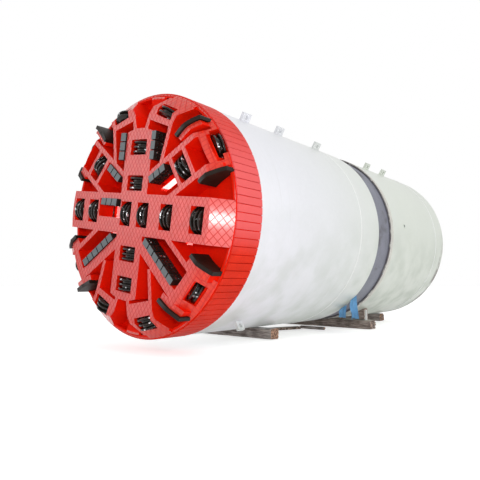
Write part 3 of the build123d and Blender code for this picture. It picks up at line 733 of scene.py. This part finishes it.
def rag(name, top, bottom, folds, depth, seed, rows=26, columns=36):
    """A hanging grid between a top edge and a bottom edge, each two points; folds are waves across it."""
    bm = bmesh.new()
    t0, t1, b0, b1 = (Vector(p) for p in (*top, *bottom))
    grid = []
    for i in range(rows + 1):
        s = i / rows
        row = []
        for j in range(columns + 1):
            c = j / columns
            p = t0.lerp(t1, c).lerp(b0.lerp(b1, c), s)
            p.x += depth * math.sin(2 * math.pi * folds * c + seed) * s ** 0.8
            p.y += 0.3 * depth * math.cos(4 * math.pi * folds * c + seed) * s
            p.z -= 0.03 * noise.noise(Vector((c * 4, seed, 0))) * s * s
            p.y -= 0.05 * math.sin(math.pi * min(1.0, 1.4 * s)) * (1 - c)
            row.append(bm.verts.new(p))
        grid.append(row)
    for face in skin(bm, grid):
        face.smooth = True
    piece = new_piece(name, bm, blue)
    print(name, "area", round(sum(f.area for f in piece.data.polygons), 4))
    piece.modifiers.new("two sides", "SOLIDIFY").thickness = CLOTH_T
    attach(piece, "front")
    return piece


def under_edge(x, y):
    """A point just outside the shield's underside."""
    return (x, y, AXIS_Z - math.sqrt((SHIELD_R + 0.004) ** 2 - x * x))


# %% The two rags
long_rag = rag("long_rag", (under_edge(0.97, 0.235), under_edge(1.05, 0.280)),
               ((0.99, 0.20, 0.245), (1.02, 0.41, 0.235)), 2.4, 0.022, 1.3)
short_rag = rag("short_rag", (under_edge(0.82, 0.225), under_edge(0.88, 0.275)),
                ((0.85, 0.09, 0.275), (0.87, 0.24, 0.255)), 1.8, 0.014, 4.0)

# %% [markdown]
# ## Weld beads, by Geometry Nodes
# The front of a cutterhead wears fast, so its plates are armoured with a net of hard weld beads. There are
# thousands of them in one regular pattern, which is a job for Geometry Nodes: a grid of points is laid before the
# head, each point looks at the plates with a ray, and a bead is placed only where both of its ends land flush on
# the same front face. Painting the net alone would look flat from the side.

# %% Geometry node helpers
def new_tree(name, inputs):
    """A geometry tree with named inputs."""
    tree = bpy.data.node_groups.new(name, "GeometryNodeTree")
    tree.interface.new_socket("Geometry", in_out="INPUT", socket_type="NodeSocketGeometry")
    for label, kind, value in inputs:
        s = tree.interface.new_socket(label, in_out="INPUT", socket_type=kind)
        if value is not None:
            s.default_value = value
    tree.interface.new_socket("Geometry", in_out="OUTPUT", socket_type="NodeSocketGeometry")
    return tree, tree.nodes.new("NodeGroupInput").outputs, tree.nodes.new("NodeGroupOutput")


def grow(name, mesh, tree, **values):
    """Runs a geometry tree on a mesh and keeps the result as a plain mesh."""
    piece = place_object(name, mesh)
    modifier = piece.modifiers.new(tree.name, "NODES")
    modifier.node_group = tree
    for item in tree.interface.items_tree:
        if item.item_type == "SOCKET" and item.in_out == "INPUT" and item.name.replace(" ", "_") in values:
            modifier[item.identifier] = values[item.name.replace(" ", "_")]
    made = bpy.data.meshes.new_from_object(piece.evaluated_get(bpy.context.evaluated_depsgraph_get()))
    piece.modifiers.clear()
    piece.data = made
    print(name, len(made.polygons), "faces")
    return piece


def vector(tree, operation, a, b=None):
    """Vector arithmetic on sockets or plain vectors."""
    n = add(tree, "ShaderNodeVectorMath", operation=operation)
    for socket, value in zip(n.inputs, (a, b)):
        if isinstance(value, bpy.types.NodeSocket):
            tree.links.new(value, socket)
        elif value is not None:
            socket.default_value = value
    return n.outputs[0]


def scaled(tree, a, factor):
    """A vector times a number."""
    n = add(tree, "ShaderNodeVectorMath", [(0, a)], operation="SCALE")
    if isinstance(factor, bpy.types.NodeSocket):
        tree.links.new(factor, n.inputs["Scale"])
    else:
        n.inputs["Scale"].default_value = factor
    return n.outputs[0]


def xyz_of(tree, **parts):
    """A vector from its numbers."""
    return add(tree, "ShaderNodeCombineXYZ", list(parts.items())).outputs[0]


def swing(tree, a, angle):
    """A vector turned about the Y axis."""
    return add(tree, "ShaderNodeVectorRotate", [("Vector", a), ("Angle", angle)], rotation_type="Y_AXIS").outputs[0]


def drop_shape(tree, **size):
    """A coarse ball stretched to a drop of weld."""
    ball = add(tree, "GeometryNodeMeshUVSphere", Segments=6, Rings=4, Radius=1.0)
    shape = [("Geometry", ball.outputs[0]), ("Scale", xyz_of(tree, **size))]
    return add(tree, "GeometryNodeTransform", shape).outputs[0]


def laid_on(tree, points, bead, out, way, size_low, size_high, seed):
    """Instances on points: Z along out, X along way, with a little random size."""
    align = "FunctionNodeAlignRotationToVector"
    upright = add(tree, align, [("Vector", out)], axis="Z")
    turned = add(tree, align, [("Rotation", upright.outputs[0])], axis="X", pivot_axis="Z")
    if isinstance(way, bpy.types.NodeSocket):
        tree.links.new(way, turned.inputs["Vector"])
    else:
        turned.inputs["Vector"].default_value = way
    size = add(tree, "FunctionNodeRandomValue", data_type="FLOAT_VECTOR", Seed=seed)
    size.inputs[0].default_value = size_low
    size.inputs[1].default_value = size_high
    return add(tree, "GeometryNodeInstanceOnPoints", [("Points", points), ("Instance", bead),
               ("Rotation", turned.outputs[0]), ("Scale", size.outputs[0])]).outputs[0]


def close_tree(tree, instances, material, gout):
    """Realizes instances and gives them their finish."""
    real = add(tree, "GeometryNodeRealizeInstances", [(0, instances)])
    done = add(tree, "GeometryNodeSetMaterial", [("Geometry", real.outputs[0]), ("Material", material)])
    tree.links.new(done.outputs[0], gout.inputs[0])


# %% Tree: net of beads on the front of the head
bead_tree, gin, gout = new_tree("bead net", [
    ("Cell Width", FLOAT, CELL_W), ("Cell Height", FLOAT, CELL_H), ("Bead Width", FLOAT, 0.013),
    ("Bead Height", FLOAT, 0.004), ("Reach", FLOAT, RIM_R), ("Turn", FLOAT, HEAD_TURN),
    ("Finish", MATERIAL, None)])
g = bead_tree
CAST_FROM, CAST_LENGTH = 0.3, 0.8  # rays start this far before the face and run this far
START = (0, FACE_Y - CAST_FROM, AXIS_Z)
half_w, half_h = halves = [product(g, gin[side], 0.5) for side in ("Cell Width", "Cell Height")]
back_turn = product(g, gin["Turn"], -1.0)
counts = [product(g, number(g, "CEIL", number(g, "DIVIDE", gin["Reach"], half)), 2.0) for half in halves]
spans = [product(g, number(g, "SUBTRACT", n, 1.0), half) for n, half in zip(counts, halves)]
grid = add(g, "GeometryNodeMeshGrid", zip(("Vertices X", "Vertices Y", "Size X", "Size Y"), counts + spans))
points = add(g, "GeometryNodeMeshToPoints", [(0, grid.outputs[0])])
flat = axes(g, add(g, "GeometryNodeInputPosition").outputs[0])
before_face = vector(g, "ADD", swing(g, xyz_of(g, X=flat[0], Z=flat[1]), back_turn), START)
placed = add(g, "GeometryNodeSetPosition", [("Geometry", points.outputs[0]), ("Position", before_face)])

# %% Each point learns which way its bead runs
END_PART = 0.42  # where along its run a bead is tested, from its middle
here = add(g, "GeometryNodeInputPosition").outputs[0]
xyz = axes(g, swing(g, vector(g, "SUBTRACT", here, START), gin["Turn"]))
column = number(g, "FLOOR", number(g, "DIVIDE", xyz[0], half_w))
row = number(g, "FLOOR", number(g, "DIVIDE", xyz[2], half_h))
odd = number(g, "FLOORED_MODULO", number(g, "ADD", column, row), 2.0)
sign = number(g, "SUBTRACT", 1.0, product(g, odd, 2.0))
run = swing(g, xyz_of(g, X=half_w, Z=product(g, half_h, sign)), back_turn)
casts = []
for part in (0.0, END_PART, -END_PART):
    source = vector(g, "ADD", here, scaled(g, run, part))
    ray = add(g, "GeometryNodeRaycast", [("Target Geometry", gin[0]), ("Source Position", source)],
              Ray_Length=CAST_LENGTH)
    ray.inputs["Ray Direction"].default_value = (0, 1, 0)
    casts.append(ray.outputs)

# %% It stays only where the plate under it is flush and in front
MOST_SAG, BEHIND, FACING_Y = 0.005, 0.012, -0.55
middle_ray, end_a, end_b = casts
hits = product(g, *(cast["Is Hit"] for cast in casts))
ends = number(g, "ADD", end_a["Hit Distance"], end_b["Hit Distance"])
sag = number(g, "SUBTRACT", ends, product(g, middle_ray["Hit Distance"], 2.0))
flush = number(g, "LESS_THAN", number(g, "ABSOLUTE", sag), MOST_SAG)
behind = number(g, "SUBTRACT", middle_ray["Hit Distance"], chamfer_fall(g, from_axis(g, xyz)))
in_front = number(g, "LESS_THAN", behind, CAST_FROM + BEHIND)
facing = number(g, "LESS_THAN", axes(g, middle_ray["Hit Normal"])[1], FACING_Y)
dropped = number(g, "SUBTRACT", 1.0, product(g, hits, flush, in_front, facing))
kept = add(g, "GeometryNodeDeleteGeometry", [("Geometry", placed.outputs[0]), ("Selection", dropped)], domain="POINT")

# %% The bead itself, laid along the net
HALF_RUN = 0.53  # a bead's half length in runs, a little over one half so that beads touch
length = add(g, "ShaderNodeVectorMath", [(0, run)], operation="LENGTH").outputs[1]
bead = drop_shape(g, X=product(g, length, HALF_RUN), Y=product(g, gin["Bead Width"], 0.5), Z=gin["Bead Height"])
tangent = vector(g, "SUBTRACT", end_a["Hit Position"], end_b["Hit Position"])
laid = laid_on(g, kept.outputs[0], bead, middle_ray["Hit Normal"], tangent, (0.94, 0.75, 0.7), (1.06, 1.2, 1.15), 5)
forward = xyz_of(g, Y=middle_ray["Hit Distance"])
on_plate = add(g, "GeometryNodeTranslateInstances", [(0, laid), ("Translation", forward)], Local_Space=False)
close_tree(g, on_plate.outputs[0], gin["Finish"], gout)


# %% Grow the beads
def joined_copy(name, node_names):
    """One mesh that holds copies of CAD parts."""
    bm = bmesh.new()
    for n in node_names:
        bm.from_mesh(nodes[n].data)
    mesh = bpy.data.meshes.new(name)
    bm.to_mesh(mesh)
    bm.free()
    return mesh


bead_net = grow("bead_net", joined_copy("front_plates", ["face_plate", "arm_ribs", "arm_frame", "scoop_plates"]),
                bead_tree, Finish=bead_red)
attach(bead_net, "cutterhead")

# %% [markdown]
# ## Weld seams on the shields
# Each shield is made of rolled rings joined by a round seam, and every lifting lug stands in a fillet of weld.
# A weld is a row of small overlapping ripples along a path, so the path is a plain line of edges and a second
# tree lays the ripples along it, each one looking away from the machine's axis.

# %% Tree: ripples of weld along a path
ripple_tree, gin, gout = new_tree("weld ripples", [
    ("Pitch", FLOAT, 0.014), ("Width", FLOAT, 0.018), ("Height", FLOAT, 0.004),
    ("Finish", MATERIAL, None)])
g = ripple_tree
path = add(g, "GeometryNodeMeshToCurve", [(0, gin[0])])
steps = add(g, "GeometryNodeResampleCurve", [("Curve", path.outputs[0]), ("Length", gin["Pitch"])], mode="LENGTH")
here = add(g, "GeometryNodeInputPosition").outputs[0]
away = vector(g, "MULTIPLY", vector(g, "SUBTRACT", here, (0, 0, AXIS_Z)), (1, 0, 1))
ripple = drop_shape(g, X=gin["Pitch"], Y=product(g, gin["Width"], 0.5), Z=gin["Height"])
laid = laid_on(g, steps.outputs[0], ripple, away, add(g, "GeometryNodeInputTangent").outputs[0],
               (0.9, 0.85, 0.8), (1.1, 1.15, 1.2), 9)
close_tree(g, laid, gin["Finish"], gout)


# %% Paths on the shields
def shield_point(station, degrees, lift=0.0):
    """A place on the shield: distance behind the face, angle from the top, lift off the plate."""
    a = math.radians(degrees)
    r = SHIELD_R + lift
    return (r * math.sin(a), FACE_Y + station, AXIS_Z + r * math.cos(a))


def path_mesh(name, loops):
    """Closed loops of edges."""
    mesh = bpy.data.meshes.new(name)
    verts, edges = [], []
    for loop in loops:
        first = len(verts)
        verts += loop
        edges += [(first + i, first + (i + 1) % len(loop)) for i in range(len(loop))]
    mesh.from_pydata(verts, edges, [])
    return mesh


def lug_loop(station, degrees, length, thick=0.04, gap=0.006):
    """The foot of a lifting lug, a little outside its plate."""
    half = math.degrees((thick / 2 + gap) / SHIELD_R)
    corners = [(-1, -1), (1, -1), (1, 1), (-1, 1)]
    return [shield_point(station + x * (length / 2 + gap), degrees + y * half) for x, y in corners]


def ring_loop(station, lift=0.0):
    """A circle around the shield."""
    return [shield_point(station, 5 * k, lift) for k in range(72)]


# %% Seams and lug feet of both shields
# The seam beads are painted paler than the shield, a painted highlight along each bead.
seam_white = painted("seam_white", (0.90, 0.91, 0.90), 9.0, 0.08, Roughness=0.4)

# body: station of the seam, then station, angle and length of each pair of lugs
WELDS = {
    "front": (2.944, ((1.15, 31, 0.15), (1.88, 31, 0.15), (2.85, 31, 0.15), (1.11, 152, 0.11))),
    "tail": (6.09, ((4.58, 31, 0.15), (5.25, 31, 0.15)))}
for body, (seam, lugs) in WELDS.items():
    feet = [lug_loop(s, side * a, long) for s, a, long in lugs for side in (-1, 1)]
    seam_ring = grow(f"{body}_seam", path_mesh(f"{body}_ring", [ring_loop(seam, 0.002)]), ripple_tree,
                     Pitch=0.016, Width=0.026, Height=0.0055, Finish=seam_white)
    fillets = grow(f"{body}_fillets", path_mesh(f"{body}_feet", feet), ripple_tree, Finish=white)
    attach(seam_ring, body)
    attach(fillets, body)

# %% [markdown]
# ## Bolts on the teeth
# A scraper tooth is a steel block held from its side by four hexagon bolts. The rows of teeth are already in the CAD
# model, so the script finds each tooth's largest side by itself, marks four places on it, and a third tree sets a
# hexagon head with its washer on every mark.

# %% Tree: hexagon heads
bolt_tree, gin, gout = new_tree("hexagon bolts", [
    ("Radius", FLOAT, 0.011), ("Height", FLOAT, 0.010), ("Finish", MATERIAL, None)])
g = bolt_tree
head = add(g, "GeometryNodeMeshCylinder", [("Radius", gin["Radius"]), ("Depth", gin["Height"])], Vertices=6)
wide, thin = product(g, gin["Radius"], 1.35), product(g, gin["Height"], 0.4)
washer = add(g, "GeometryNodeMeshCylinder", [("Radius", wide), ("Depth", thin)], Vertices=12)
both = add(g, "GeometryNodeJoinGeometry", [(0, head.outputs[0])])
g.links.new(washer.outputs[0], both.inputs[0])
out = add(g, "GeometryNodeInputNamedAttribute", data_type="FLOAT_VECTOR", Name="out").outputs[0]
laid = laid_on(g, gin[0], both.outputs[0], out, (0, 1, 0), (1, 1, 1), (1, 1, 1), 2)
close_tree(g, laid, gin["Finish"], gout)


# %% Marks on the teeth
def islands(bm):
    """The separate closed shells of a mesh, as lists of faces. A dict keeps their order the same in every run."""
    left = dict.fromkeys(bm.faces)
    while left:
        stack, shell = [left.popitem()[0]], []
        while stack:
            face = stack.pop()
            shell.append(face)
            for edge in face.edges:
                for other in edge.link_faces:
                    if other in left:
                        del left[other]
                        stack.append(other)
        yield shell


BOLT_U, BOLT_W = (-0.022, 0.022), (-0.030, 0.028)  # across the tooth and along the machine
bm = bmesh.new()
bm.from_mesh(nodes["scraper_teeth"].data)
bmesh.ops.remove_doubles(bm, verts=bm.verts, dist=1e-5)
bmesh.ops.dissolve_limit(bm, angle_limit=0.01, verts=bm.verts, edges=bm.edges)
marks, outs = [], []
for shell in islands(bm):
    side = max((f for f in shell if abs(f.normal.y) < 0.3), key=lambda f: f.calc_area())
    middle = side.calc_center_median()
    across = side.normal.cross(Vector((0, 1, 0))).normalized()
    for u in BOLT_U:
        for w in BOLT_W:
            marks.append(middle + across * u + Vector((0, w, 0)) + side.normal * 0.001)
            outs.append(side.normal.copy())
bm.free()
mark_mesh = bpy.data.meshes.new("bolt_marks")
mark_mesh.from_pydata([tuple(m) for m in marks], [], [])
mark_mesh.attributes.new("out", "FLOAT_VECTOR", "POINT").data.foreach_set("vector", [c for o in outs for c in o])
tooth_bolts = grow("tooth_bolts", mark_mesh, bolt_tree, Finish=black)
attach(tooth_bolts, "cutterhead")

# %% [markdown]
# ## Port in the tail
# A small round port with a turned lip sits on the right of the tail shield. It is a ring turned from a short
# profile, with a dark plug set back inside.

# %% Port
def turned_ring(name, profile, place, out, material, segments=32):
    """Spins a profile of (radius, height) around a place, looking along out."""
    turn = Vector(out).to_track_quat("Z", "Y").to_matrix()
    bm = bmesh.new()
    rings = []
    for k in range(segments):
        a = 2 * math.pi * k / segments
        spoke = [Vector((r * math.cos(a), r * math.sin(a), h)) for r, h in profile]
        rings.append([bm.verts.new(Vector(place) + turn @ point) for point in spoke])
    for k in range(segments):
        for i in range(len(profile) - 1):
            a, b = rings[k], rings[(k + 1) % segments]
            if profile[i][0] > 0 or profile[i + 1][0] > 0:
                bm.faces.new([a[i], b[i], b[i + 1], a[i + 1]])
    bmesh.ops.remove_doubles(bm, verts=bm.verts, dist=1e-6)
    bmesh.ops.recalc_face_normals(bm, faces=bm.faces)
    return new_piece(name, bm, material)


PORT = (4.56, 84.0)  # station and angle
LIP = [(0.024, -0.004), (0.024, 0.005), (0.027, 0.008), (0.036, 0.008), (0.040, 0.004), (0.040, -0.004)]
PLUG = [(0.0, 0.002), (0.012, 0.002), (0.014, 0.0005), (0.0245, 0.0005), (0.0245, -0.004), (0.0, -0.004)]
port_out = Vector(shield_point(*PORT)) - Vector(shield_point(*PORT, lift=-1.0))
for name, profile, material in (("port_lip", LIP, white), ("port_plug", PLUG, rubber)):
    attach(turned_ring(name, profile, shield_point(*PORT), port_out, material), "tail")

# %% [markdown]
# ## Floor
# The floor is a pale sheet. To the camera it glows a little, so that the lit part is as white as the room while
# the shadow under the machine still shows.

# %% Floor finish
pale_floor, t, shader, where, normal = finish("pale_floor", Roughness=0.9, Base_Color=(0.93, 0.93, 0.93, 1))
shader.inputs["Emission Color"].default_value = (1, 1, 1, 1)
GLOW = 0.6
rays = add(t, "ShaderNodeLightPath").outputs
seen = number(t, "MAXIMUM", rays["Is Camera Ray"], rays["Is Glossy Ray"])
t.links.new(product(t, seen, GLOW), shader.inputs["Emission Strength"])
floor.data.materials.append(pale_floor)
